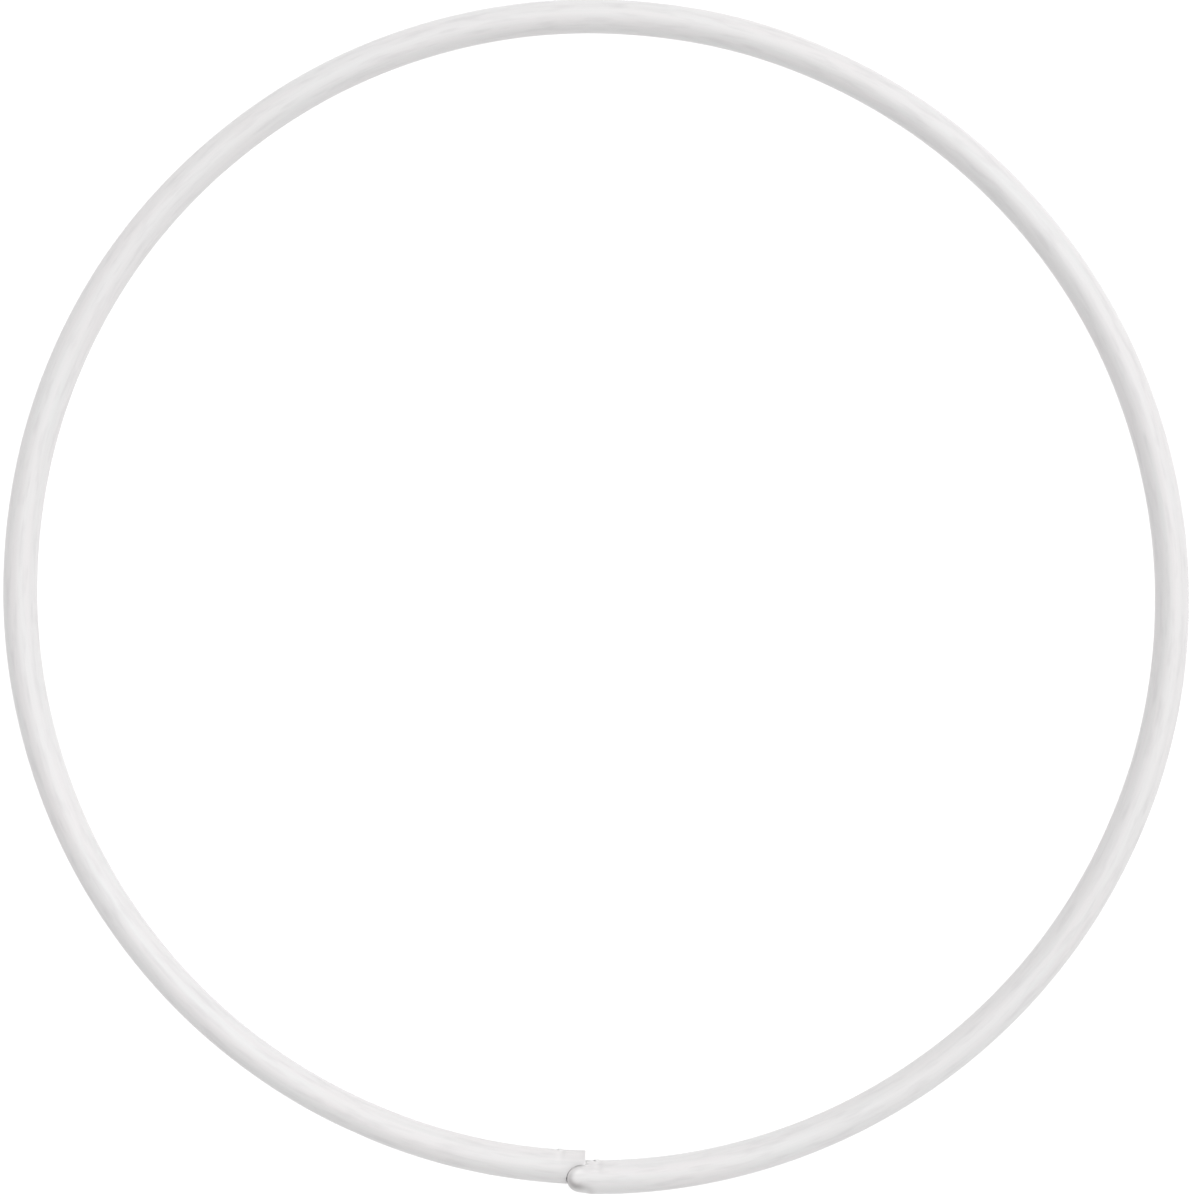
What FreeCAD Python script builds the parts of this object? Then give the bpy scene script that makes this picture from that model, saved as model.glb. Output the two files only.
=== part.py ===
import FreeCAD, Part
import math
import os

import Sketcher
from FreeCAD import Rotation, Vector

# A gymnastics hoop lying flat on the floor.  Millimetres and degrees.
#
# +Z is up, the ring lies flat and its joint is on the -Y side.  The origin is on the floor
# under the ring's centre.  Every piece is drawn about the ring's middle plane, and then lifted
# by half the tube's diameter.
#
# The hoop is one round tube bent nearly into a circle.  Its centre line is four quarter arcs
# whose centres are the corners of a small rectangle.  The rectangle's width makes the ring a
# little out of round, and its height makes the two ends of the tube miss each other at the
# joint.  Seen from above, the right-hand end is cut to a round nose, and the left-hand end is
# notched to take it and laps past it on the ring's inner side.  A loose plug inside both ends,
# held by two pins, joins them.

DIMENSIONS = {
    "ring_radius": 340.0,         # nominal radius of the tube's centre line
    "out_of_round": 2.0,          # how far the quarter arcs' radii go over and under that
    "end_step": 5.65,             # how far the two ends are out of line, across the tube
    "tube_diameter": 20.0,
    "tube_wall": 2.0,
    "nose_radius": 8.5,           # of the right-hand end's nose, seen from above
    "nose_reach": 6.2,            # from the joint to the nose's tip
    "nose_taper": 11.0,           # from the nose's outer side back to the full tube
    "lap_reach": 3.9,             # from the joint to where the left-hand end stops
    "end_gap": 0.5,               # between the two ends, all along their cuts
    "end_allowance": 12.0,        # tube past the joint that the end cuts are made in
    "plug_length": 80.0,
    "plug_clearance": 0.05,       # between the plug and each bore, on the side where they meet
    "plug_bevel": 1.0,
    "pin_offset": 11.0,           # from the joint to each pin
    "pin_shank_diameter": 2.0,
    "pin_length": 11.0,           # under the head, tip included
    "pin_tip_length": 2.0,
    "pin_head_diameter": 4.2,
    "pin_head_height": 1.1,
    "pin_head_rounding": 0.7,
    "pin_seat_depth": 0.5,        # how deep the recess for the head goes into the tube
    "pin_clearance": 0.05,        # between the pin and its holes, all round
}

SIDES = {"left": -1, "right": 1}

# The quarter arcs' centres: this far left of the Y axis, and this far up or down from the X axis
CENTRE_LEFT = "2 * Sizes.out_of_round"
CENTRE_UP = "(Sizes.out_of_round + Sizes.end_step / 4)"

# The middle of the nose, seen from above, and places clear of the tube on its either side
NOSE_ACROSS = "(Sizes.nose_radius - Sizes.nose_reach)"
NOSE_UP = "-(Sizes.ring_radius + Sizes.end_step / 2)"
WELL_INSIDE = "-(Sizes.ring_radius - Sizes.tube_diameter)"
WELL_OUTSIDE = "-(Sizes.ring_radius + Sizes.tube_diameter)"

# The sketcher's numbers for a line's or arc's points, and for a sketch's own origin and axes
START, END, CENTRE = 1, 2, 3
SKETCH_ORIGIN = (-1, START)
ACROSS_AXIS, UP_AXIS = -1, -2

doc = FreeCAD.newDocument("hoop")

sheet = doc.addObject("Spreadsheet::Sheet", "Sizes")
for row, (name, value) in enumerate(DIMENSIONS.items(), start=1):
    sheet.set(f"A{row}", name)
    sheet.set(f"B{row}", str(value))
    sheet.setAlias(f"B{row}", name)
doc.recompute()


# ---------------------------------------------------------------- sketches and features

def new_sketch(body, name, role):
    """Adds a sketch on one of the body's own origin planes."""
    sketch = body.newObject("Sketcher::SketchObject", name)
    plane = next(item for item in body.Origin.OriginFeatures if item.Role == role)
    sketch.AttachmentSupport = (plane, "")
    sketch.MapMode = "FlatFace"
    return sketch


def value_of(sketch, distance):
    return float(sketch.evalExpression(distance)) if distance else 0.0


def bind(sketch, kind, *where, to):
    """Adds a constraint whose value is an expression on the sheet."""
    index = sketch.addConstraint(Sketcher.Constraint(kind, *where, value_of(sketch, to)))
    sketch.setExpression(f"Constraints[{index}]", to)


def place(sketch, geometry, point, across=None, up=None):
    """Holds a point at two distances from the sketch's origin, or on an axis in place of None."""
    for kind, axis, distance in (("DistanceX", UP_AXIS, across), ("DistanceY", ACROSS_AXIS, up)):
        if distance is None:
            sketch.addConstraint(Sketcher.Constraint("PointOnObject", geometry, point, axis))
        else:
            bind(sketch, kind, *SKETCH_ORIGIN, geometry, point, to=distance)


def add_arc(sketch, centre, radius, first, last):
    """Draws an arc about a centre that is a pair of distances, as place takes them."""
    spot = Vector(*(value_of(sketch, distance) for distance in centre), 0)
    circle = Part.Circle(spot, Vector(0, 0, 1), value_of(sketch, radius))
    arc = sketch.addGeometry(Part.ArcOfCircle(circle, math.radians(first), math.radians(last)))
    place(sketch, arc, CENTRE, *centre)
    return arc


def add_circle(sketch, radius, across, up=None):
    """Draws a circle about a centre that place takes."""
    spot = Vector(value_of(sketch, across), value_of(sketch, up), 0)
    circle = sketch.addGeometry(Part.Circle(spot, Vector(0, 0, 1), value_of(sketch, radius)))
    bind(sketch, "Radius", circle, to=radius)
    place(sketch, circle, CENTRE, across, up)


def add_polygon(sketch, corners):
    """Draws a closed outline through corners that are pairs of distances, as place takes them."""
    spots = [Vector(*(value_of(sketch, distance) for distance in corner), 0) for corner in corners]
    lines = [
        sketch.addGeometry(Part.LineSegment(spot, following))
        for spot, following in zip(spots, spots[1:] + spots[:1])
    ]
    for line, following in zip(lines, lines[1:] + lines[:1]):
        sketch.addConstraint(Sketcher.Constraint("Coincident", line, END, following, START))
    for line, corner in zip(lines, corners):
        place(sketch, line, START, *corner)


def cut_through(body, name, sketch):
    """Cuts a sketch on the XY plane through the tube, from its underside to its top."""
    pocket = body.newObject("PartDesign::Pocket", name)
    pocket.Profile = sketch
    pocket.Midplane = True
    pocket.setExpression("Length", "2 * Sizes.tube_diameter")


def cut_outward(body, name, sketch, depth):
    """Cuts a sketch on the XZ plane towards -Y, from the ring's centre out to a depth."""
    pocket = body.newObject("PartDesign::Pocket", name)
    pocket.Profile = sketch
    pocket.Reversed = True
    pocket.setExpression("Length", depth)


def drill(body, name, radius, side, depth):
    """Drills one side's round hole towards -Y, from the ring's centre out to a depth."""
    sketch = new_sketch(body, name + "_outline", "XZ_Plane")
    add_circle(sketch, f"{radius} + Sizes.pin_clearance", f"{SIDES[side]} * Sizes.pin_offset")
    cut_outward(body, name, sketch, depth)


def circular_edges(shape, radius):
    """The names of the shape's full circles of a radius."""
    return [
        f"Edge{number}"
        for number, edge in enumerate(shape.Edges, start=1)
        if edge.Curve.TypeId == "Part::GeomCircle" and abs(edge.Curve.Radius - radius) < 1e-6
    ]


# ---------------------------------------------------------------- the tube

def pin_seat(side):
    """How far the underside of a pin's head is from the ring's centre."""
    return (f"(Sizes.ring_radius + {SIDES[side]} * Sizes.end_step / 2"
            " - Sizes.tube_diameter / 2 + Sizes.pin_seat_depth)")


def draw_centre_line(body, side):
    """Draws half of the centre line: a near arc that runs on past the joint, and a far arc."""
    sign = SIDES[side]
    level = f"{-sign} * {CENTRE_UP}"
    radius = f"Sizes.ring_radius - {sign} * (Sizes.out_of_round - Sizes.end_step / 4)"
    reach = math.degrees(math.asin(sheet.end_allowance / sheet.ring_radius))
    sketch = new_sketch(body, side + "_centre_line", "XY_Plane")
    if side == "left":
        near_arc = add_arc(sketch, (None, level), radius, 180, 270 + reach)
        far_arc = add_arc(sketch, (f"-{CENTRE_LEFT}", level), radius, 90, 180)
        near_end, near_join, far_join, far_end = END, START, END, START
    else:
        near_arc = add_arc(sketch, (None, level), radius, 270 - reach, 360)
        far_arc = add_arc(sketch, (f"-{CENTRE_LEFT}", level), radius, 0, 90)
        near_end, near_join, far_join, far_end = START, END, START, END
    bind(sketch, "Radius", near_arc, to=radius)
    bind(sketch, "DistanceX", *SKETCH_ORIGIN, near_arc, near_end, to=f"{-sign} * Sizes.end_allowance")
    bind(sketch, "DistanceY", *SKETCH_ORIGIN, near_arc, near_join, to=level)
    sketch.addConstraint(Sketcher.Constraint("Coincident", near_arc, near_join, far_arc, far_join))
    bind(sketch, "DistanceX", *SKETCH_ORIGIN, far_arc, far_end, to=f"-{CENTRE_LEFT}")
    return sketch


def cut_notch(body):
    """Cuts the left-hand end square where it laps past the nose, and round where it takes it."""
    waste = new_sketch(body, "lap_waste", "XY_Plane")
    add_polygon(waste, [
        ("Sizes.lap_reach", WELL_INSIDE),
        ("2 * Sizes.end_allowance", WELL_INSIDE),
        ("2 * Sizes.end_allowance", WELL_OUTSIDE),
        ("Sizes.lap_reach", WELL_OUTSIDE),
    ])
    cut_through(body, "lap_cut", waste)
    notch = new_sketch(body, "notch_outline", "XY_Plane")
    add_circle(notch, "Sizes.nose_radius + Sizes.end_gap", NOSE_ACROSS, NOSE_UP)
    cut_through(body, "notch_cut", notch)


def cut_nose(body):
    """Cuts the right-hand end to its nose, with a shoulder where the left-hand end stops.

    On the ring's outer side the nose widens to the full tube at the taper instead."""
    waste = new_sketch(body, "nose_waste", "XY_Plane")
    nose = add_arc(waste, (NOSE_ACROSS, NOSE_UP), "Sizes.nose_radius", 90, 270)
    bind(waste, "Radius", nose, to="Sizes.nose_radius")
    shoulder = "Sizes.lap_reach + Sizes.end_gap"
    spare = f"({NOSE_UP} - Sizes.nose_radius - {WELL_OUTSIDE})"
    ends = [
        (NOSE_ACROSS, f"{NOSE_UP} - Sizes.nose_radius"),
        (f"{NOSE_ACROSS} + {spare} / tan(Sizes.nose_taper)", WELL_OUTSIDE),
        ("-2 * Sizes.end_allowance", WELL_OUTSIDE),
        ("-2 * Sizes.end_allowance", WELL_INSIDE),
        (shoulder, WELL_INSIDE),
        (shoulder, f"{NOSE_UP} + Sizes.nose_radius"),
        (NOSE_ACROSS, f"{NOSE_UP} + Sizes.nose_radius"),
    ]
    spots = [Vector(*(value_of(waste, distance) for distance in end), 0) for end in ends]
    lines = [waste.addGeometry(Part.LineSegment(*pair)) for pair in zip(spots, spots[1:])]
    for line, following in zip(lines, lines[1:]):
        waste.addConstraint(Sketcher.Constraint("Coincident", line, END, following, START))
    for line, corner in zip(lines[1:], ends[1:]):
        place(waste, line, START, *corner)
    waste.addConstraint(Sketcher.Constraint("Coincident", nose, END, lines[0], START))
    waste.addConstraint(Sketcher.Constraint("Coincident", lines[-1], END, nose, START))
    for end in (START, END):
        bind(waste, "DistanceX", *SKETCH_ORIGIN, nose, end, to=NOSE_ACROSS)
    cut_through(body, "nose_cut", waste)


def make_tube_half(side):
    """Half of the tube, from the ring's far side to its cut end, drilled for its pin."""
    body = doc.addObject("PartDesign::Body", side + "_half")
    centre_line = draw_centre_line(body, side)

    section = new_sketch(body, side + "_section", "YZ_Plane")
    section.setExpression("AttachmentOffset.Base.z", f"-{CENTRE_LEFT}")
    add_circle(section, "Sizes.tube_diameter / 2", "Sizes.ring_radius")
    add_circle(section, "Sizes.tube_diameter / 2 - Sizes.tube_wall", "Sizes.ring_radius")

    pipe = body.newObject("PartDesign::AdditivePipe", side + "_pipe")
    pipe.Profile = section
    pipe.Spine = (centre_line, [])

    if side == "left":
        cut_notch(body)
    else:
        cut_nose(body)
    drill(body, side + "_pin_hole", "Sizes.pin_shank_diameter / 2", side, "Sizes.ring_radius")
    drill(body, side + "_pin_recess", "Sizes.pin_head_diameter / 2", side, pin_seat(side))
    return body


def make_tube():
    """The whole tube: its halves meet on the far side of the ring, where they become one."""
    tube = doc.addObject("Part::Fuse", "hoop_tube")
    tube.Base, tube.Tool = [make_tube_half(side) for side in SIDES]
    tube.Refine = True
    return tube


# ---------------------------------------------------------------- the plug and its pins

def make_plug():
    """A rod that follows the ring, midway between the two tube ends it joins."""
    body = doc.addObject("PartDesign::Body", "joint_plug")
    section = new_sketch(body, "plug_section", "YZ_Plane")
    add_circle(section, "Sizes.tube_diameter / 2 - Sizes.tube_wall - Sizes.end_step / 2"
               " - Sizes.plug_clearance", "-Sizes.ring_radius")
    rod = body.newObject("PartDesign::Revolution", "plug_rod")
    rod.Profile = section
    rod.ReferenceAxis = (section, ["V_Axis"])
    rod.Midplane = True
    rod.setExpression("Angle", "Sizes.plug_length / Sizes.ring_radius * 180 / pi")
    doc.recompute()

    bevel = body.newObject("PartDesign::Chamfer", "plug_bevel")
    bevel.Base = (rod, circular_edges(rod.Shape, section.Shape.Edges[0].Curve.Radius))
    bevel.setExpression("Size", "Sizes.plug_bevel")
    for side in SIDES:
        drill(body, side + "_plug_hole", "Sizes.pin_shank_diameter / 2", side,
              "Sizes.ring_radius + Sizes.tube_diameter")
    return body


def make_pin(side):
    """A drive pin, drawn about its own axis with its head up and the head's underside at zero."""
    body = doc.addObject("PartDesign::Body", "joint_pin_" + side)
    head, shank = "Sizes.pin_head_diameter / 2", "Sizes.pin_shank_diameter / 2"
    profile = new_sketch(body, side + "_pin_profile", "XZ_Plane")
    add_polygon(profile, [
        (None, "-Sizes.pin_length"),
        (shank, "Sizes.pin_tip_length - Sizes.pin_length"),
        (shank, None),
        (head, None),
        (head, "Sizes.pin_head_height"),
        (None, "Sizes.pin_head_height"),
    ])
    turned = body.newObject("PartDesign::Revolution", side + "_pin_turned")
    turned.Profile = profile
    turned.ReferenceAxis = (profile, ["V_Axis"])
    doc.recompute()

    dome = body.newObject("PartDesign::Fillet", side + "_pin_dome")
    rims = circular_edges(turned.Shape, sheet.pin_head_diameter / 2)
    top_rim = max(rims, key=lambda rim: turned.Shape.getElement(rim).Curve.Center.z)
    dome.Base = (turned, [top_rim])
    dome.setExpression("Radius", "Sizes.pin_head_rounding")

    # The pin points away from the ring's centre
    body.Placement.Rotation = Rotation(Vector(1, 0, 0), -90)
    body.setExpression("Placement.Base.x", f"{SIDES[side]} * Sizes.pin_offset")
    body.setExpression("Placement.Base.y", f"-{pin_seat(side)}")
    return body


# ---------------------------------------------------------------- build, check and write

pieces = [make_tube(), make_plug()] + [make_pin(side) for side in SIDES]
for piece in pieces:
    piece.setExpression("Placement.Base.z", "Sizes.tube_diameter / 2")
doc.recompute()

for item in doc.Objects:
    if "Invalid" in item.State or "Error" in item.State:
        raise RuntimeError(f"{item.Name} failed: {item.State}")
for piece in pieces:
    if piece.Shape.isNull() or not piece.Shape.isValid():
        raise RuntimeError(f"{piece.Label} has no valid shape")
    if len(piece.Shape.Solids) != 1:
        raise RuntimeError(f"{piece.Label} should be one solid, and is {len(piece.Shape.Solids)}")

os.makedirs("parts", exist_ok=True)
for piece in pieces:
    piece.Shape.exportStep(f"parts/{piece.Label}.step")
    print(f"{piece.Label}: {piece.Shape.Volume:.1f} mm3")
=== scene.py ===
import math

import bpy
import numpy as np
from mathutils import Matrix, Vector


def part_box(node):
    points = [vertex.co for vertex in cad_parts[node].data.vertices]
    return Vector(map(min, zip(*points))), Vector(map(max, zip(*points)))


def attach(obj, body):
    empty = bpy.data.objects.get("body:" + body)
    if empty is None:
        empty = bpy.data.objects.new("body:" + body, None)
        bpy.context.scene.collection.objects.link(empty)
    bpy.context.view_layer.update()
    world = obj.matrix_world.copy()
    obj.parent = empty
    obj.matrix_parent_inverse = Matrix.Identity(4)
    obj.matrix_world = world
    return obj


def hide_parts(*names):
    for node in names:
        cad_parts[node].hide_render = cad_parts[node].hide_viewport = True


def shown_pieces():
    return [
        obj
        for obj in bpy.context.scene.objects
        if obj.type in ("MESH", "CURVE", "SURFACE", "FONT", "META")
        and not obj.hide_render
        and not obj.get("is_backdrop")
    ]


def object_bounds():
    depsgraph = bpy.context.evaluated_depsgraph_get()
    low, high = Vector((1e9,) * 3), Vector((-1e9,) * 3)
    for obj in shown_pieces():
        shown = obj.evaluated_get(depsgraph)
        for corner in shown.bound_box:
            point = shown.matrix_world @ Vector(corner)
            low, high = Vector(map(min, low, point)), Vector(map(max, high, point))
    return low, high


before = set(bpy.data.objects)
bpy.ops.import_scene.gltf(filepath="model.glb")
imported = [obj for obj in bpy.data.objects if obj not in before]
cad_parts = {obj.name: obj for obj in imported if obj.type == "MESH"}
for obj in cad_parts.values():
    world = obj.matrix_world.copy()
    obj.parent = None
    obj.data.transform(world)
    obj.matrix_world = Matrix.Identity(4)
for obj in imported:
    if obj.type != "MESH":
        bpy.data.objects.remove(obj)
cad_low, cad_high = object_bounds()

# A gymnastics hoop lying on a pale floor, seen from straight above.  Metres, +Z up.
#
# The hoop is a round white tube bent nearly into a circle.  Its two ends meet at the -Y side, a
# little out of line, over a grey plug held by two pins.  Seen from above, the right-hand end is
# cut to a round nose, and the left-hand end is notched to take it and laps past its inner side.

# ------------------------------------------------------------------ sizes read from the frame

MM = 0.001

tube_low, tube_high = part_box("hoop_tube")
TUBE_RADIUS = (tube_high.z - tube_low.z) / 2
RING_RADIUS = (tube_high.x - tube_low.x) / 2 - TUBE_RADIUS
PINS = {side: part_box("joint_pin_" + side) for side in ("left", "right")}
END_STEP = PINS["left"][1].y - PINS["right"][1].y
OUT_OF_ROUND = END_STEP / 4 - (tube_low.x + tube_high.x) / 2
MIDDLE = tube_low.z + TUBE_RADIUS

plug_low, plug_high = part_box("joint_plug")
PLUG_RADIUS = (plug_high.z - plug_low.z) / 2
PLUG_CLEARANCE = 0.05 * MM
BORE_RADIUS = PLUG_RADIUS + END_STEP / 2 + PLUG_CLEARANCE

# The end cuts, as in the CAD: upright all through, so these are their outlines from above
NOSE_RADIUS = 8.5 * MM
NOSE_REACH = 6.2 * MM
NOSE_TAPER = math.tan(math.radians(11.0))
LAP_REACH = 3.9 * MM
END_GAP = 0.5 * MM
NOSE_X = NOSE_RADIUS - NOSE_REACH
NOSE_Y = -RING_RADIUS - END_STEP / 2

# The tube's own small irregularities
OUTER_LIP = {"left": 0.14 * MM, "right": 0.3 * MM}
INNER_LIP = 0.2 * MM
SAW_BURR = 0.07 * MM
OUTER_BURR = 0.3          # the shares of that on the outer lip, the cut face and the inner lip
FACE_BURR = 0.2
INNER_BURR = 0.25
TIP_GAP = 0.36 * MM       # what is left of the gap at the nose's tip
CLOSED_GAP = 0.05 * MM    # and on the ring's inner side, where the two ends press together
SQUEEZE = 1.05 * MM       # how much each side is drawn in: the hoop is longer than it is wide
WANDER = 0.2 * MM         # how far the bent tube strays from its arcs, in the ring's plane
UNEVEN = 0.035 * MM       # how far the wall's outside is from round
UNEVEN_MIDDLE = 1.5       # how many times that it stays inside the full radius, on average
DENT_COUNT = 26
DENT_DEPTH = 0.16 * MM
DENT_LENGTH = (3.5 * MM, 9.0 * MM)
DENT_WIDTH = 4.0 * MM
DENT_CLEARANCE = 60 * MM  # between the dents and the joint
PIN_DIMPLE = 0.22 * MM
PIN_DIMPLE_WIDTH = 2.9 * MM
PIN_DIMPLE_REACH = 4.0 * MM
PIN_CREASE = 0.60 * MM    # the crease over the tube's top and bottom that each driven pin left
PIN_CREASE_WIDTH = 2.2 * MM
PIN_CREASE_SHIFT = 0.8 * MM

# The mesh
AROUND = 88
STATION = 3.4 * MM        # between rings of the outside
BORE_STATION = 12.0 * MM
END_ZONE = 26.0 * MM      # finer stretch at each end
END_RINGS = 56
LIP_RINGS = 4
FACE_RINGS = (0.33, 0.66) # where they are on the cut face, from its outer lip to its inner one
OUTLINE_STEPS = 1200      # that a cut's outline is worked out in, before it is evened out

# ------------------------------------------------------------------ the tube's centre line

# Four quarter arcs, clockwise from the left-hand end.  A turn of 0 is that end, 2 pi the other.
CENTRE_UP = OUT_OF_ROUND + END_STEP / 4
CENTRES = np.array([
    (0.0, CENTRE_UP),
    (-2 * OUT_OF_ROUND, CENTRE_UP),
    (-2 * OUT_OF_ROUND, -CENTRE_UP),
    (0.0, -CENTRE_UP),
])
RADII = np.array([
    RING_RADIUS + OUT_OF_ROUND - END_STEP / 4,
    RING_RADIUS - OUT_OF_ROUND - END_STEP / 4,
    RING_RADIUS + OUT_OF_ROUND + END_STEP / 4,
    RING_RADIUS - OUT_OF_ROUND + END_STEP / 4,
])
QUARTER = math.pi / 2
LENGTHS = np.concatenate([[0.0], np.cumsum(RADII * QUARTER)])


def bell(distance, width):
    """1 where the distance is nothing, falling away smoothly over the width on either side."""
    return np.exp(-((distance / width) ** 2))


def quarter_of(turn):
    """Which of the four arcs a turn is on."""
    return np.clip(np.floor(turn / QUARTER), 0, 3).astype(int)


def length_at(turn):
    """How far along the centre line a turn is."""
    quarter = quarter_of(turn)
    return LENGTHS[quarter] + RADII[quarter] * (turn - quarter * QUARTER)


def tube_points(turn, depth, around):
    """Points at a distance depth from the centre line, at an angle around it from the outside."""
    quarter = quarter_of(turn)
    heading = -QUARTER - turn
    wander = WANDER * np.sin(turn / 2) * (
        1.6 * np.cos(turn / 4) ** 2 * np.cos(4 * turn - 2.6)
        + 0.5 * np.sin(9 * turn + 2.1)
        + 0.3 * np.sin(16 * turn + 4.0)
    )
    bend = RADII[quarter] + wander - SQUEEZE * np.sin(turn) ** 2
    reach = bend + depth * np.cos(around)
    return np.stack([
        CENTRES[quarter, 0] + reach * np.cos(heading),
        CENTRES[quarter, 1] + reach * np.sin(heading),
        MIDDLE + depth * np.sin(around),
    ], axis=-1)


def gap_at(y):
    """The gap between the two ends, which closes towards the ring's inner side."""
    opening = np.clip((NOSE_Y + NOSE_RADIUS - y) / NOSE_RADIUS, 0, 1)
    return CLOSED_GAP + (TIP_GAP - CLOSED_GAP) * opening


def cut_x(side, y, inset):
    """Where the cut through one end is at each y, set back from its edge by an inset."""
    if side == "left":
        radius, stop = NOSE_RADIUS + gap_at(y) + inset, LAP_REACH + END_GAP - CLOSED_GAP - inset
    else:
        radius, stop = NOSE_RADIUS - inset, LAP_REACH + END_GAP + inset
    across = np.sqrt(np.maximum(radius ** 2 - (y - NOSE_Y) ** 2, 0.0))
    tapered = np.maximum(NOSE_Y - radius - y, 0.0) / NOSE_TAPER
    return np.where(y > NOSE_Y + radius, stop, NOSE_X - across + tapered)


def saw_burr(side, angle):
    """The raggedness that the saw left on an end's edges."""
    draw = np.random.default_rng(11 if side == "left" else 23)
    waves = [(k, draw.uniform(0.3, 1.0), draw.uniform(0, 6)) for k in (3, 5, 8, 13, 21)]
    return SAW_BURR * sum(size * np.sin(k * angle + start) for k, size, start in waves)


def cut_line(side, depth, inset, ragged=0.0):
    """The cut's outline on a tube of radius depth, in even steps: its turns and angles around.

    It is set back from the cut by an inset, less a share of the saw's burr."""
    quarter, sign = (0, -1) if side == "left" else (3, 1)
    fine = np.linspace(0, math.pi, OUTLINE_STEPS)
    inset = inset - ragged * saw_burr(side, fine)
    reach = RADII[quarter] + depth * np.cos(fine)
    x = np.zeros_like(fine)
    for _ in range(4):      # the ring's bend makes x and y depend a little on each other
        y = CENTRES[quarter, 1] - np.sqrt(reach ** 2 - x ** 2)
        x = cut_x(side, y, inset)
    steps = np.hypot(np.hypot(np.diff(x), np.diff(reach)), depth * np.diff(np.sin(fine)))
    length = np.concatenate([[0.0], np.cumsum(steps)])
    places = np.linspace(0, length[-1], AROUND // 2 + 1)
    around = np.interp(places, length, fine)
    x = np.interp(places, length, x)
    around = np.concatenate([around, 2 * math.pi - around[-2:0:-1]])
    x = np.concatenate([x, x[-2:0:-1]])
    turn = np.arcsin(sign * x / (RADII[quarter] + depth * np.cos(around)))
    return (turn if side == "left" else 2 * math.pi - turn), around


def from_cut(points):
    """How far each point near the joint is from its own end's cut, and whether it's on the left."""
    x, y = points[:, 0], points[:, 1]
    from_nose = np.hypot(x - NOSE_X, y - NOSE_Y) - NOSE_RADIUS
    left = np.where(
        y > NOSE_Y + NOSE_RADIUS + END_GAP / 2,
        x < LAP_REACH + END_GAP / 2,
        (x < NOSE_X) & (from_nose > END_GAP / 2),
    )
    on_left = np.minimum(from_nose - END_GAP, LAP_REACH - x)
    on_nose = np.where(x < NOSE_X, -from_nose, NOSE_RADIUS - np.abs(y - NOSE_Y))
    past_lap = x - LAP_REACH - END_GAP
    on_right = np.where(past_lap > 0, np.hypot(past_lap, on_nose), on_nose)
    on_right = np.where(y > NOSE_Y + NOSE_RADIUS, past_lap, on_right)
    return np.maximum(np.where(left, on_left, on_right), 0.0), left


def straightened(points):
    """Where each point would be on the tube if it were straight: along, out and up."""
    x, y, z = points.T
    left = np.where(y < 0, from_cut(points)[1], x < -2 * OUT_OF_ROUND)
    quarter = np.where(left, np.where(y < CENTRE_UP, 0, 1), np.where(y > -CENTRE_UP, 2, 3))
    across = points[:, :2] - CENTRES[quarter]
    turn = np.mod(-QUARTER - np.arctan2(across[:, 1], across[:, 0]), 2 * math.pi)
    turn = np.where((quarter == 0) & (turn > math.pi), turn - 2 * math.pi, turn)
    turn = np.where((quarter == 3) & (turn < math.pi), turn + 2 * math.pi, turn)
    along = LENGTHS[quarter] + RADII[quarter] * (turn - quarter * QUARTER)
    return np.stack([along, np.hypot(*across.T) - RADII[quarter], z - MIDDLE], axis=-1)


# ------------------------------------------------------------------ mesh helpers

def new_piece(name, mesh, slot, *replaced):
    """Puts a mesh in the scene as a piece of the hoop that stands for CAD nodes."""
    piece = bpy.data.objects.new(name, mesh)
    bpy.context.scene.collection.objects.link(piece)
    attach(piece, "root")
    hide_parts(*replaced)
    return piece


def mesh_of(name, points, faces):
    mesh = bpy.data.meshes.new(name)
    mesh.from_pydata([tuple(p) for p in points], [], faces)
    mesh.validate()
    mesh.shade_smooth()
    return mesh


def grid_faces(rows, columns, closed_rows):
    """Quads over a grid that closes on itself across, and along as well if asked."""
    last = rows if closed_rows else rows - 1
    return [
        (
            row * columns + column,
            row * columns + (column + 1) % columns,
            (row + 1) % rows * columns + (column + 1) % columns,
            (row + 1) % rows * columns + column,
        )
        for row in range(last)
        for column in range(columns)
    ]


def turned(name, profile, steps):
    """A solid turned about Z from (radius, height) points, closed on the axis at both ends."""
    angles = np.arange(steps) * 2 * math.pi / steps
    points = [(0.0, 0.0, profile[0][1])]
    for radius, height in profile[1:-1]:
        points += [(radius * math.cos(a), radius * math.sin(a), height) for a in angles]
    points.append((0.0, 0.0, profile[-1][1]))
    rows = len(profile) - 2
    faces = [tuple(1 + i for i in face) for face in grid_faces(rows, steps, False)]
    top = len(points) - 1
    for column in range(steps):
        following = (column + 1) % steps
        faces.append((0, 1 + following, 1 + column))
        base = 1 + (rows - 1) * steps
        faces.append((base + column, base + following, top))
    return mesh_of(name, points, faces)


def add_attribute(mesh, name, values):
    """Keeps a number, or a vector, for each vertex, which a material can read."""
    values = np.asarray(values, np.float32)
    kind, field = ("FLOAT", "value") if values.ndim == 1 else ("FLOAT_VECTOR", "vector")
    attribute = mesh.attributes.new(name, kind, "POINT")
    attribute.data.foreach_set(field, values.ravel())


def vertex_array(mesh):
    flat = np.empty(len(mesh.vertices) * 3, np.float32)
    mesh.vertices.foreach_get("co", flat)
    return flat.reshape(-1, 3).astype(float)


# ------------------------------------------------------------------ the tube

PIN_HEAD_RADIUS = (PINS["left"][1].x - PINS["left"][0].x) / 2
PIN_CLEARANCE = 0.05 * MM
PIN_SHANK_RADIUS = 1.0 * MM
PIN_HEAD_HEIGHT = 1.1 * MM
PIN_STEPS = 48
CUTTER_REACH = 4.0 * MM   # from under a pin's head to each end of the cutter for its room


def pin_x(side):
    low, high = PINS[side]
    return (low.x + high.x) / 2


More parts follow.
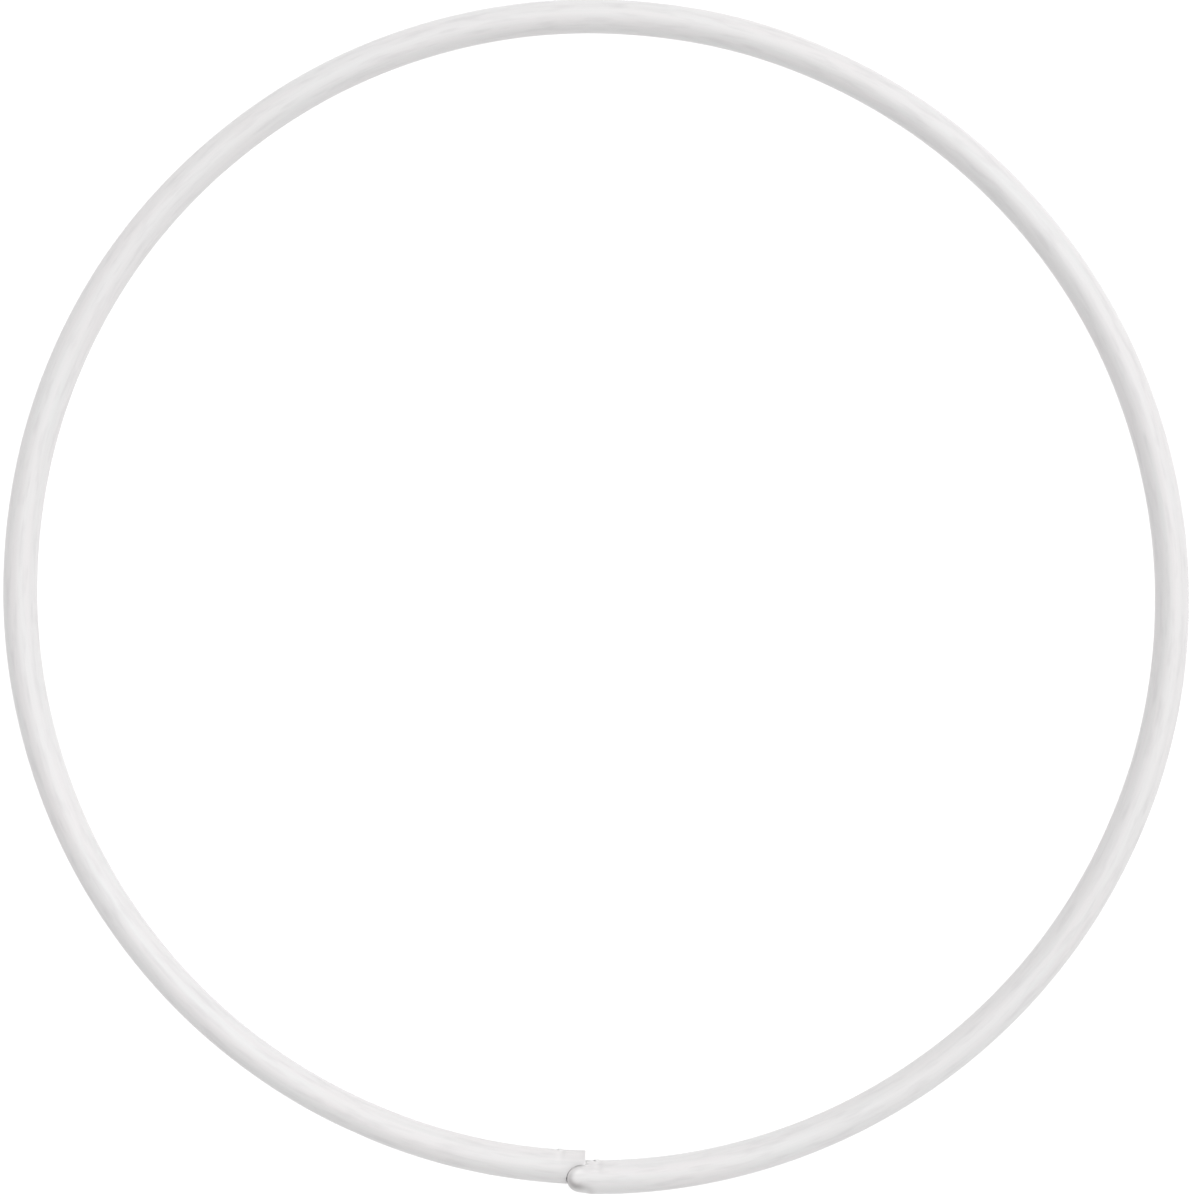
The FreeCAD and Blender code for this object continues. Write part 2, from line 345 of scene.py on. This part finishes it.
def pin_place(side):
    """Takes a pin drawn along +Z, with the underside of its head at 0, to its place."""
    seat = Vector((pin_x(side), PINS[side][1].y - PIN_HEAD_HEIGHT, MIDDLE))
    return Matrix.Translation(seat) @ Matrix.Rotation(-QUARTER, 4, "X")


def outside_depth(along, around):
    """The tube's outer radius: nearly even, with a few shallow dents."""
    depth = TUBE_RADIUS - UNEVEN * (
        UNEVEN_MIDDLE
        + 0.5 * np.sin(along / (31 * MM) + 2 * around)
        + 0.5 * np.sin(along / (17 * MM) - 3 * around + 1.3)
        + 0.5 * np.sin(along / (83 * MM) + around + 4.2)
    )
    draw = np.random.default_rng(7)
    for _ in range(DENT_COUNT):
        where = draw.uniform(DENT_CLEARANCE, LENGTHS[-1] - DENT_CLEARANCE)
        angle = draw.uniform(-math.pi, math.pi)
        size = draw.uniform(*DENT_LENGTH)
        deep = DENT_DEPTH * draw.uniform(0.35, 1.0)
        aside = (np.mod(around - angle + math.pi, 2 * math.pi) - math.pi) * TUBE_RADIUS
        depth = depth - deep * bell(along - where, size) * bell(aside, DENT_WIDTH)
    return depth


def make_tube():
    """The tube as one closed skin: outside, right-hand lip, bore and left-hand lip."""
    even = np.arange(AROUND) * 2 * math.pi / AROUND
    zone = END_ZONE / RING_RADIUS
    edge = TUBE_RADIUS - UNEVEN_MIDDLE * UNEVEN

    def body_rings(step, ends, depth_of):
        """Rings between two ends' outlines, closer together and leaning towards each of them."""
        count = int(round((2 * math.pi - 2 * zone) * RING_RADIUS / step))
        rings = [(np.full(AROUND, t), even) for t in np.linspace(zone, 2 * math.pi - zone, count)]
        share = np.linspace(0, 1, END_RINGS, endpoint=False)
        (left, left_around), (right, right_around) = ends
        first = [(left + (zone - left) * s, left_around + (even - left_around) * s) for s in share]
        last = [
            (right + (2 * math.pi - zone - right) * s, right_around + (even - right_around) * s)
            for s in share[::-1]
        ]
        return [tube_points(t, depth_of(length_at(t), a), a) for t, a in first + rings + last]

    def lip_rings(side):
        """Rings over one cut end, from the outside in to the bore, with saw burr on its edges."""
        lip = OUTER_LIP[side]
        found = []
        for k in range(1, LIP_RINGS + 1):
            bend = QUARTER * k / LIP_RINGS
            inset = lip * (1 - math.sin(bend))
            found.append((edge - lip * (1 - math.cos(bend)), inset, OUTER_BURR * math.sin(bend)))
        for share in FACE_RINGS:
            depth = edge - lip + share * (BORE_RADIUS + INNER_LIP - edge + lip)
            found.append((depth, 0.0, FACE_BURR))
        for k in range(LIP_RINGS):
            bend = QUARTER * k / LIP_RINGS
            inset = INNER_LIP * (1 - math.cos(bend))
            found.append((BORE_RADIUS + INNER_LIP * (1 - math.sin(bend)), inset, INNER_BURR))
        rings = []
        for depth, inset, ragged in found:
            turn, around = cut_line(side, depth, inset, ragged)
            rings.append(tube_points(turn, depth, around))
        return rings

    def bore_depth(along, around):
        return np.full(AROUND, BORE_RADIUS)

    outside_ends = [cut_line(side, edge, OUTER_LIP[side]) for side in PINS]
    bore_ends = [cut_line(side, BORE_RADIUS, INNER_LIP) for side in PINS]
    rings = body_rings(STATION, outside_ends, outside_depth)
    outside_rows = len(rings)
    right_lip = lip_rings("right")
    rings += right_lip
    rings += body_rings(BORE_STATION, bore_ends, bore_depth)[::-1]
    rings += lip_rings("left")[::-1]

    points = np.concatenate(rings)
    faces = grid_faces(len(rings), AROUND, True)
    mesh = mesh_of("extruded_tube", dimpled(points), faces)

    # The rows of faces from one lip's rounding to the other's are sawn
    lip_rows = len(right_lip)
    left_start = len(rings) - lip_rows
    right_face = range(outside_rows + LIP_RINGS - 2, outside_rows + lip_rows - 2)
    left_face = range(left_start + 2, left_start + lip_rows - LIP_RINGS + 2)
    cut = set(right_face) | set(left_face)
    mesh.polygons.foreach_set(
        "material_index", [int(i // AROUND in cut) for i in range(len(mesh.polygons))])
    return mesh


def dimpled(points):
    """Presses the wall in a little round each pin's head, and creases it beside the pin."""
    moved = points.copy()
    for side in PINS:
        near = (points[:, 1] < 0) & (points[:, 1] > PINS[side][1].y - PIN_DIMPLE_REACH)
        away = np.hypot(points[:, 0] - pin_x(side), points[:, 2] - MIDDLE)
        dimple = PIN_DIMPLE * np.exp(-((away / PIN_DIMPLE_WIDTH) ** 4))
        moved[:, 1] -= np.where(near, dimple, 0.0)

        beside = bell(points[:, 0] - pin_x(side) - PIN_CREASE_SHIFT, PIN_CREASE_WIDTH)
        crease = PIN_CREASE * np.sqrt(inward_of(points, side)) * beside
        above = np.clip((points[:, 2] - MIDDLE) / TUBE_RADIUS, -1, 1)
        moved[:, 2] -= crease * above * np.abs(above)
    return moved


def inward_of(points, side):
    """1 at the ring's inner side by a pin's head, and 0 from most of a tube radius away from it."""
    below = PINS[side][1].y - points[:, 1]
    return np.where(points[:, 1] < 0, np.clip(1 - below / (0.75 * TUBE_RADIUS), 0, 1), 0.0)


def pin_cutter(side):
    """The room for a pin in the tube's wall: a recess for its head and a hole for its shank."""
    hole, recess = PIN_SHANK_RADIUS + PIN_CLEARANCE, PIN_HEAD_RADIUS + PIN_CLEARANCE
    bottom, top = -CUTTER_REACH, CUTTER_REACH
    profile = [(0, bottom), (hole, bottom), (hole, 0), (recess, 0), (recess, top), (0, top)]
    mesh = turned("pin_room_" + side, profile, PIN_STEPS)
    mesh.transform(pin_place(side))
    cutter = bpy.data.objects.new(mesh.name, mesh)
    bpy.context.scene.collection.objects.link(cutter)
    return cutter


def drill(piece, cutters):
    """Cuts the pins' holes out of the tube and keeps the result as its mesh."""
    for cutter in cutters:
        change = piece.modifiers.new(cutter.name, "BOOLEAN")
        change.object = cutter
        change.solver = "EXACT"
    depsgraph = bpy.context.evaluated_depsgraph_get()
    mesh = bpy.data.meshes.new_from_object(piece.evaluated_get(depsgraph), depsgraph=depsgraph)
    piece.modifiers.clear()
    piece.data = mesh
    for cutter in cutters:
        bpy.data.objects.remove(cutter)


# ------------------------------------------------------------------ the pins

HEAD_DISH = 0.12 * MM
HEAD_CROWN = 1.15 * MM    # from the pin's axis to where the dome starts
HEAD_SIDE = 0.28 * MM     # how high the dome ends over the head's underside
DOME_STEPS = 8
TIP_RADIUS = 0.25 * MM
RING_DEPTH = 0.11 * MM
RING_PITCH = 0.8 * MM
RING_COUNT = 6
FIRST_RING = 3.0 * MM


def pin_outline(length):
    """A domed head with a dished middle, a neck, a ringed shank and a blunt point.

    Each point is its radius and its height over the underside of the head."""
    outline = [(0.0, PIN_HEAD_HEIGHT - HEAD_DISH), (0.35 * MM, PIN_HEAD_HEIGHT - HEAD_DISH)]
    outline += [(0.6 * MM, PIN_HEAD_HEIGHT - 0.35 * HEAD_DISH), (0.9 * MM, PIN_HEAD_HEIGHT)]
    for step in range(DOME_STEPS + 1):
        bend = QUARTER * step / DOME_STEPS
        outline.append((
            HEAD_CROWN + (PIN_HEAD_RADIUS - HEAD_CROWN) * math.sin(bend),
            HEAD_SIDE + (PIN_HEAD_HEIGHT - HEAD_SIDE) * math.cos(bend),
        ))
    outline += [
        (PIN_HEAD_RADIUS, 0.12 * MM),
        (PIN_HEAD_RADIUS - 0.04 * MM, 0.03 * MM),
        (PIN_HEAD_RADIUS - 0.15 * MM, 0.0),
        (PIN_SHANK_RADIUS + 0.02 * MM, 0.0),
        (PIN_SHANK_RADIUS, -0.03 * MM),
    ]
    for ring in range(RING_COUNT):
        top = -FIRST_RING - ring * RING_PITCH
        outline += [
            (PIN_SHANK_RADIUS, top),
            (PIN_SHANK_RADIUS - RING_DEPTH, top - 0.12 * MM),
            (PIN_SHANK_RADIUS - RING_DEPTH, top - 0.3 * MM),
            (PIN_SHANK_RADIUS, top - 0.7 * MM),
        ]
    outline += [
        (PIN_SHANK_RADIUS, -length + 2.0 * MM),
        (0.85 * MM, -length + 1.6 * MM),
        (TIP_RADIUS + 0.1 * MM, -length + 0.18 * MM),
        (TIP_RADIUS - 0.08 * MM, -length + 0.02 * MM),
        (0.0, -length),
    ]
    return outline


def make_pin(side):
    low, high = PINS[side]
    length = high.y - low.y - PIN_HEAD_HEIGHT
    mesh = turned("drive_pin_" + side, pin_outline(length)[::-1], PIN_STEPS)
    mesh.transform(pin_place(side))
    pin = new_piece("drive_pin_" + side, mesh, "pin_steel", "joint_pin_" + side)
    add_attribute(mesh, "axial", axial_places(mesh, side))
    return pin


def axial_places(mesh, side):
    """Each vertex of a pin as seen from its own axis: across, along it and up."""
    points = vertex_array(mesh)
    return points - np.array([pin_x(side), PINS[side][1].y, MIDDLE])


# ------------------------------------------------------------------ materials

TUBE_WHITE = (0.766, 0.745, 0.750, 1)
TUBE_WHITE_COOL = (0.734, 0.740, 0.737, 1)
TUBE_WHITE_WARM = (0.762, 0.734, 0.732, 1)
TUBE_GREY = (0.690, 0.678, 0.682, 1)
TUBE_STREAK = (0.655, 0.643, 0.648, 1)
WHITENING_AND_HIGHLIGHT = (0.950, 0.945, 0.940, 1)
SCUFF_GREY = (0.450, 0.445, 0.440, 1)
SHADE_PAINT = (0.300, 0.285, 0.285, 1)
PLUG_GREY = (0.215, 0.213, 0.212, 1)
PLUG_WORN = (0.275, 0.272, 0.268, 1)
STEEL_BRIGHT = (0.88, 0.88, 0.87, 1)
STEEL_DULL = (0.74, 0.74, 0.74, 1)
PAPER = (0.945, 0.945, 0.945, 1)
PAPER_SHADE = (0.935, 0.935, 0.935, 1)


def new_material(name):
    material = bpy.data.materials.new(name)
    material.use_nodes = True
    tree = material.node_tree
    tree.nodes.clear()
    output = tree.nodes.new("ShaderNodeOutputMaterial")
    shader = tree.nodes.new("ShaderNodeBsdfPrincipled")
    tree.links.new(shader.outputs["BSDF"], output.inputs["Surface"])
    return material, tree, shader


def node(tree, kind, inputs=(), **settings):
    """Adds a node.  Each input is a value or the output of another node."""
    made = tree.nodes.new("ShaderNode" + kind)
    for key, value in settings.items():
        setattr(made, key, value)
    for key, value in dict(inputs).items():
        if isinstance(value, bpy.types.NodeSocket):
            tree.links.new(value, made.inputs[key])
        else:
            made.inputs[key].default_value = value
    return made


def attribute(tree, name, output="Vector"):
    return node(tree, "Attribute", attribute_name=name).outputs[output]


def stretched(tree, vector, scale):
    inputs = {0: vector, 1: scale}
    return node(tree, "VectorMath", inputs, operation="MULTIPLY").outputs["Vector"]


def noise(tree, vector, detail, distortion=0.0):
    """Noise with details of about 1 over the vector's units."""
    inputs = {"Vector": vector, "Scale": 1.0, "Detail": detail, "Distortion": distortion}
    return node(tree, "TexNoise", inputs).outputs["Fac"]


def ranged(tree, value, start, end, low=0.0, high=1.0):
    """Takes start to end of a value to low to high, and no further."""
    inputs = {"Value": value, "From Min": start, "From Max": end, "To Min": low, "To Max": high}
    return node(tree, "MapRange", inputs, clamp=True).outputs["Result"]


def maths(tree, operation, first, second=0.0):
    return node(tree, "Math", {0: first, 1: second}, operation=operation).outputs["Value"]


def mixed_colour(tree, share, first, second):
    made = tree.nodes.new("ShaderNodeMix")
    made.data_type = "RGBA"
    for name, value in (("Factor_Float", share), ("A_Color", first), ("B_Color", second)):
        socket = next(s for s in made.inputs if s.identifier == name)
        if isinstance(value, bpy.types.NodeSocket):
            tree.links.new(value, socket)
        else:
            socket.default_value = value
    return next(s for s in made.outputs if s.identifier == "Result_Color")


def bumped(tree, height, distance, below=None):
    inputs = {"Height": height, "Distance": distance, "Strength": 1.0}
    if below is not None:
        inputs["Normal"] = below
    return node(tree, "Bump", inputs).outputs["Normal"]


def tube_plastic(sawn):
    """White extruded plastic: streaks along the tube, faint scuffs, whitening round the pins, and
    painted highlight and shade near the joint.
    """
    material, tree, shader = new_material("tube_plastic_sawn" if sawn else "tube_plastic")
    straight = attribute(tree, "straight")

    die_lines = noise(tree, stretched(tree, straight, (5.0, 900.0, 900.0)), detail=4.0)
    bands = noise(tree, stretched(tree, straight, (9.0, 260.0, 260.0)), detail=3.0)
    streaks = noise(tree, stretched(tree, straight, (48.0, 330.0, 330.0)), detail=2.5)
    clouds = noise(tree, stretched(tree, straight, (22.0, 60.0, 60.0)), detail=4.0)
    peel = noise(tree, stretched(tree, straight, (700.0, 700.0, 700.0)), detail=2.0)

    # Scuffs come in patches, mostly on the outside and underneath where the hoop rolls and slides
    scuff_lines = noise(tree, stretched(tree, straight, (60.0, 1500.0, 1500.0)), detail=3.0,
                        distortion=0.6)
    patches = noise(tree, stretched(tree, straight, (14.0, 90.0, 90.0)), detail=5.0)
    patch = ranged(tree, patches, 0.52, 0.66)
    along_scuffs = ranged(tree, scuff_lines, 0.60, 0.68)
    scuffs = maths(tree, "MULTIPLY", along_scuffs, patch)
    scuffs = maths(tree, "MULTIPLY", scuffs, attribute(tree, "wear", "Fac"))

    white = mixed_colour(tree, ranged(tree, bands, 0.3, 0.7), TUBE_WHITE_COOL, TUBE_WHITE)
    white = mixed_colour(tree, ranged(tree, clouds, 0.35, 0.75, 0.0, 0.5), white, TUBE_WHITE_WARM)
    white = mixed_colour(tree, ranged(tree, die_lines, 0.3, 0.75, 0.0, 0.35), white, TUBE_GREY)
    white = mixed_colour(tree, ranged(tree, streaks, 0.50, 0.72, 0.0, 0.65), white, TUBE_STREAK)
    white = mixed_colour(tree, maths(tree, "MULTIPLY", scuffs, 0.55), white, SCUFF_GREY)
    # Painted highlight behind and on the nose's lip and beside each pin's crease, with whitened
    # plastic round each pin's head
    white = mixed_colour(tree, attribute(tree, "whitening_and_highlight", "Fac"), white, WHITENING_AND_HIGHLIGHT)
    # Painted shade: on the nose's side away from the light, in the crease between the ends, in the
    # bore and beside each pin's crease
    painted_shade_share = maths(tree, "MULTIPLY", attribute(tree, "painted_shade", "Fac"),
                        ranged(tree, patches, 0.3, 0.65, 0.8, 1.0))
    white = mixed_colour(tree, painted_shade_share, white, SHADE_PAINT)
    tree.links.new(white, shader.inputs["Base Color"])

    if sawn:
        place = node(tree, "NewGeometry").outputs["Position"]
        saw = noise(tree, stretched(tree, place, (300.0, 2200.0, 300.0)), detail=3.0)
        normal = bumped(tree, saw, 0.00012)
        rough = ranged(tree, saw, 0.3, 0.7, 0.55, 0.75)
    else:
        normal = bumped(tree, die_lines, 0.00003)
        normal = bumped(tree, peel, 0.000012, normal)
        normal = bumped(tree, scuffs, -0.00002, normal)
        rough = ranged(tree, bands, 0.25, 0.75, 0.30, 0.40)
        rough = maths(tree, "ADD", rough, ranged(tree, clouds, 0.35, 0.7, -0.03, 0.05))
        rough = maths(tree, "ADD", rough, maths(tree, "MULTIPLY", scuffs, 0.3))
    tree.links.new(normal, shader.inputs["Normal"])
    tree.links.new(rough, shader.inputs["Roughness"])
    shader.inputs["IOR"].default_value = 1.5
    return material


def plug_plastic():
    """Grey moulded plastic with a fine grain and a little dust."""
    material, tree, shader = new_material("plug_plastic")
    place = node(tree, "NewGeometry").outputs["Position"]
    grain = noise(tree, stretched(tree, place, (2400.0, 2400.0, 2400.0)), detail=2.0)
    flow = noise(tree, stretched(tree, place, (60.0, 500.0, 500.0)), detail=4.0)
    colour = mixed_colour(tree, ranged(tree, flow, 0.35, 0.7), PLUG_GREY, PLUG_WORN)
    tree.links.new(colour, shader.inputs["Base Color"])
    tree.links.new(ranged(tree, flow, 0.3, 0.7, 0.42, 0.58), shader.inputs["Roughness"])
    tree.links.new(bumped(tree, grain, 0.00003), shader.inputs["Normal"])
    return material


def pin_steel():
    """Bright zinc-plated steel, turned and then hammered in."""
    material, tree, shader = new_material("pin_steel")
    axial = attribute(tree, "axial")
    turning = noise(tree, stretched(tree, axial, (300.0, 9000.0, 300.0)), detail=2.0)
    spots = noise(tree, stretched(tree, axial, (1600.0, 1600.0, 1600.0)), detail=3.0)
    colour = mixed_colour(tree, ranged(tree, spots, 0.4, 0.7), STEEL_BRIGHT, STEEL_DULL)
    tree.links.new(colour, shader.inputs["Base Color"])
    shader.inputs["Metallic"].default_value = 1.0
    tree.links.new(ranged(tree, spots, 0.3, 0.7, 0.30, 0.48), shader.inputs["Roughness"])
    normal = bumped(tree, turning, 0.000012)
    tree.links.new(bumped(tree, spots, 0.00003, normal), shader.inputs["Normal"])
    return material


def floor_material():
    """Matt white studio paper with hardly any grain."""
    material, tree, shader = new_material("studio_paper")
    place = node(tree, "NewGeometry").outputs["Position"]
    grain = noise(tree, stretched(tree, place, (35.0, 35.0, 35.0)), detail=3.0)
    colour = mixed_colour(tree, ranged(tree, grain, 0.3, 0.7), PAPER, PAPER_SHADE)
    tree.links.new(colour, shader.inputs["Base Color"])
    shader.inputs["Roughness"].default_value = 0.9
    shader.inputs["Specular IOR Level"].default_value = 0.1
    return material


# ------------------------------------------------------------------ wear, whitening, painted highlight and painted shade

# Facings are angles round the nose's middle, from +X towards +Y
JOINT_REACH = 30 * MM                 # how far from the joint its marks are looked for

HIGHLIGHT_SETBACK = 3.6 * MM             # the painted highlight behind the nose's lip
HIGHLIGHT_WIDTH = 1.6 * MM
HIGHLIGHT_FACING = math.radians(115)
HIGHLIGHT_SPREAD = math.radians(38)
HIGHLIGHT_SHARE = 0.45

LIP_HIGHLIGHT_WIDTH = 1.9 * MM           # and the painted highlight on the lip itself
LIP_HIGHLIGHT_FACING = math.radians(92)
LIP_HIGHLIGHT_SPREAD = math.radians(42)

HEAD_STRAIN_RADIUS = 2.6 * MM         # the whitened ring round each pin's head
HEAD_STRAIN_WIDTH = 1.1 * MM
HEAD_STRAIN_SHARE = 0.4
HEAD_STRAIN_REACH = 5.0 * MM
CREASE_HIGHLIGHT_SHIFT = -0.8 * MM             # the painted highlight beside it, on the side of the pin's crease that faces the light, over the tube's top and bottom
CREASE_HIGHLIGHT_WIDTH = 1.6 * MM
CREASE_HIGHLIGHT_SHARE = 0.2
CREASE_SHADE_SHIFT = 2.4 * MM                  # and the painted shade beside that, on the side of the crease away from the light
CREASE_SHADE_WIDTH = 1.3 * MM
CREASE_SHADE_SHARE = 0.14

SHADE_FACING = math.radians(220)       # where the painted shade on the nose is darkest: its side away from the light
SHADE_SPREAD = math.radians(85)
SHADE_SETBACK_TIP = 1.2 * MM           # how far it is from the nose's edge, up to the tip
SHADE_SETBACK_SIDE = 3.9 * MM          # and from this far past the tip
SHADE_SETBACK_TURN = math.radians(70)
SHADE_WIDTH = 2.3 * MM
SHADE_FADE = 14 * MM                   # how far it goes along the tube behind the nose
SHADE_ON_NOSE = 0.90
SHADE_ON_NOTCH = 0.06
SHADE_HOLLOW = math.radians(116)       # where the painted shade in the notch's crease is darkest
SHADE_HOLLOW_SPREAD = math.radians(36)
SHADE_IN_HOLLOW = 0.28
BORE_DEPTH = 1.9 * MM                 # what lies deeper in the wall than this is the bore
# painted shade inside the bore
SHADE_IN_BORE = 0.1

WEAR = 0.25                           # how scuffed the tube is on average
WEAR_OUTWARD = 0.6                    # how much more on the ring's outer side
WEAR_DOWNWARD = 0.4                   # and underneath
LEAST_WEAR = 0.1


def whitened_and_highlit(points, from_edge, left, facing, near):
    """How much lighter the outside is: a painted highlight behind and on the nose's lip and beside
    each pin's crease, and whitened plastic round each pin's head.
    """
    behind = HIGHLIGHT_SHARE * bell(from_edge - HIGHLIGHT_SETBACK, HIGHLIGHT_WIDTH)
    behind *= bell(facing - HIGHLIGHT_FACING, HIGHLIGHT_SPREAD)
    at_lip = bell(from_edge, LIP_HIGHLIGHT_WIDTH) * bell(facing - LIP_HIGHLIGHT_FACING, LIP_HIGHLIGHT_SPREAD)
    lightened = np.where(near & ~left, np.maximum(behind, at_lip), 0.0)
    for side in PINS:
        away = np.hypot(points[:, 0] - pin_x(side), points[:, 2] - MIDDLE)
        by_pin = (points[:, 1] < 0) & (points[:, 1] > PINS[side][1].y - HEAD_STRAIN_REACH)
        ring = HEAD_STRAIN_SHARE * bell(away - HEAD_STRAIN_RADIUS, HEAD_STRAIN_WIDTH)
        lightened = np.maximum(lightened, np.where(by_pin, ring, 0.0))
        # painted highlight on the lit side of the pin's crease
        crease_highlight = CREASE_HIGHLIGHT_SHARE * bell(points[:, 0] - pin_x(side) - CREASE_HIGHLIGHT_SHIFT, CREASE_HIGHLIGHT_WIDTH)
        lightened = np.maximum(lightened, crease_highlight * inward_of(points, side))
    return lightened


def painted_shading(points, from_edge, left, facing, near):
    """How much painted shade darkens the outside: on the nose's lip, most where it stands out on
    its side away from the light, in the notch's crease, and beside each pin's crease.
    """
    turned_on = np.clip((facing - math.pi) / SHADE_SETBACK_TURN, 0, 1)
    setback = SHADE_SETBACK_TIP + (SHADE_SETBACK_SIDE - SHADE_SETBACK_TIP) * turned_on
    past_nose = np.maximum(points[:, 0] - NOSE_X, 0)
    on_nose = SHADE_ON_NOSE * bell(facing - SHADE_FACING, SHADE_SPREAD)
    on_nose *= bell(from_edge - setback, SHADE_WIDTH) * bell(past_nose, SHADE_FADE)
    in_hollow = SHADE_IN_HOLLOW * bell(facing - SHADE_HOLLOW, SHADE_HOLLOW_SPREAD)
    on_notch = (SHADE_ON_NOTCH + in_hollow) * np.exp(-from_edge / SHADE_WIDTH)
    shade_share = np.where(near, np.where(left, on_notch, on_nose), 0.0)
    for side in PINS:
        # painted shade on the unlit side of the pin's crease
        crease_shade = CREASE_SHADE_SHARE * bell(points[:, 0] - pin_x(side) - CREASE_SHADE_SHIFT, CREASE_SHADE_WIDTH)
        shade_share = np.maximum(shade_share, crease_shade * inward_of(points, side))
    return shade_share


def wear_and_painted_light(mesh):
    """Gives the tube its places along and across, where it is worn, its whitening and painted
    highlights, and its painted shade.
    """
    points = vertex_array(mesh)
    straight = straightened(points)
    add_attribute(mesh, "straight", straight)

    outward = straight[:, 1] / TUBE_RADIUS
    downward = -straight[:, 2] / TUBE_RADIUS
    wear = WEAR + WEAR_OUTWARD * outward + WEAR_DOWNWARD * downward
    add_attribute(mesh, "wear", np.clip(wear, LEAST_WEAR, 1.0))

    from_edge, left = from_cut(points)
    near = (points[:, 1] < 0) & (np.abs(points[:, 0]) < JOINT_REACH)
    facing = np.arctan2(points[:, 1] - NOSE_Y, points[:, 0] - NOSE_X) % (2 * math.pi)
    add_attribute(mesh, "whitening_and_highlight", whitened_and_highlit(points, from_edge, left, facing, near))

    # Painted shade near the joint, and more of it in the bore
    shade_share = painted_shading(points, from_edge, left, facing, near)
    in_bore = np.hypot(straight[:, 1], straight[:, 2]) < TUBE_RADIUS - BORE_DEPTH
    add_attribute(mesh, "painted_shade", np.where(in_bore, np.maximum(shade_share, SHADE_IN_BORE), shade_share))


# ------------------------------------------------------------------ building the hoop

tube = new_piece("extruded_tube", make_tube(), "tube_plastic", "hoop_tube")
drill(tube, [pin_cutter(side) for side in PINS])
wear_and_painted_light(tube.data)
tube.data.materials.clear()
tube.data.materials.append(tube_plastic(sawn=False))
tube.data.materials.append(tube_plastic(sawn=True))

steel = pin_steel()
for side in PINS:
    make_pin(side).data.materials.append(steel)

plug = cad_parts["joint_plug"]
for slot in plug.material_slots:
    slot.material = plug_plastic()

# ------------------------------------------------------------------ floor, light and camera

FLOOR_HALF = 12.0
SKY = 0.55
KEY_STRENGTH = 1.65
KEY_WIDTH = math.radians(80)
LINE_STRENGTH = 0.15
LINE_WIDTH = math.radians(14)
FLOOR_STRENGTH = 2.1
LIGHT_AZIMUTH = math.radians(45)      # from +X towards +Y
LIGHT_ELEVATION = math.radians(64)

LENS = 120.0
SENSOR = 36.0
FRAME_HEIGHT = 0.7059                 # at the middle of the tube
CAMERA_ROLL = math.radians(1.9)
ORIGIN_RIGHT = 0.88 * MM              # where the hoop's origin sits in the frame
ORIGIN_UP = 3.40 * MM


def make_floor():
    corners = [(-1, -1), (1, -1), (1, 1), (-1, 1)]
    points = [(x * FLOOR_HALF, y * FLOOR_HALF, cad_low.z) for x, y in corners]
    floor = bpy.data.objects.new("floor", mesh_of("floor", points, [(0, 1, 2, 3)]))
    bpy.context.scene.collection.objects.link(floor)
    floor.data.materials.append(floor_material())
    floor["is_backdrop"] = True
    return floor


def make_sun(name, strength, width, lit, shadows=True):
    """A soft light far off to the upper right, the same all round the hoop.

    It lights only the objects given, so that the floor can stay free of hard shadows."""
    light = bpy.data.lights.new(name, "SUN")
    light.energy = strength
    light.angle = width
    light.use_shadow = shadows
    lamp = bpy.data.objects.new(name, light)
    bpy.context.scene.collection.objects.link(lamp)
    group = bpy.data.collections.new(name + "_lit")
    for piece in lit:
        group.objects.link(piece)
    lamp.light_linking.receiver_collection = group
    towards = Vector((
        math.cos(LIGHT_ELEVATION) * math.cos(LIGHT_AZIMUTH),
        math.cos(LIGHT_ELEVATION) * math.sin(LIGHT_AZIMUTH),
        math.sin(LIGHT_ELEVATION),
    ))
    lamp.rotation_euler = towards.to_track_quat("Z", "Y").to_euler()


def make_world():
    world = bpy.data.worlds.new("studio")
    world.use_nodes = True
    background = world.node_tree.nodes["Background"]
    background.inputs["Color"].default_value = (1, 1, 1, 1)
    background.inputs["Strength"].default_value = SKY
    bpy.context.scene.world = world


def make_camera():
    """Straight above the hoop, turned a little."""
    data = bpy.data.cameras.new("camera")
    data.lens = LENS
    data.sensor_width = SENSOR
    camera = bpy.data.objects.new("camera", data)
    bpy.context.scene.collection.objects.link(camera)
    across = Vector((math.cos(CAMERA_ROLL), math.sin(CAMERA_ROLL), 0))
    upward = Vector((-math.sin(CAMERA_ROLL), math.cos(CAMERA_ROLL), 0))
    camera.location = -ORIGIN_RIGHT * across - ORIGIN_UP * upward
    camera.location.z = MIDDLE + FRAME_HEIGHT * LENS / SENSOR
    camera.rotation_euler = (0, 0, CAMERA_ROLL)
    bpy.context.scene.camera = camera


floor = make_floor()
make_sun("key", KEY_STRENGTH, KEY_WIDTH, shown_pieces())
make_sun("line", LINE_STRENGTH, LINE_WIDTH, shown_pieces())
make_sun("floor_key", FLOOR_STRENGTH, KEY_WIDTH, [floor], shadows=False)
make_world()
make_camera()
bpy.context.scene.view_settings.view_transform = "Standard"
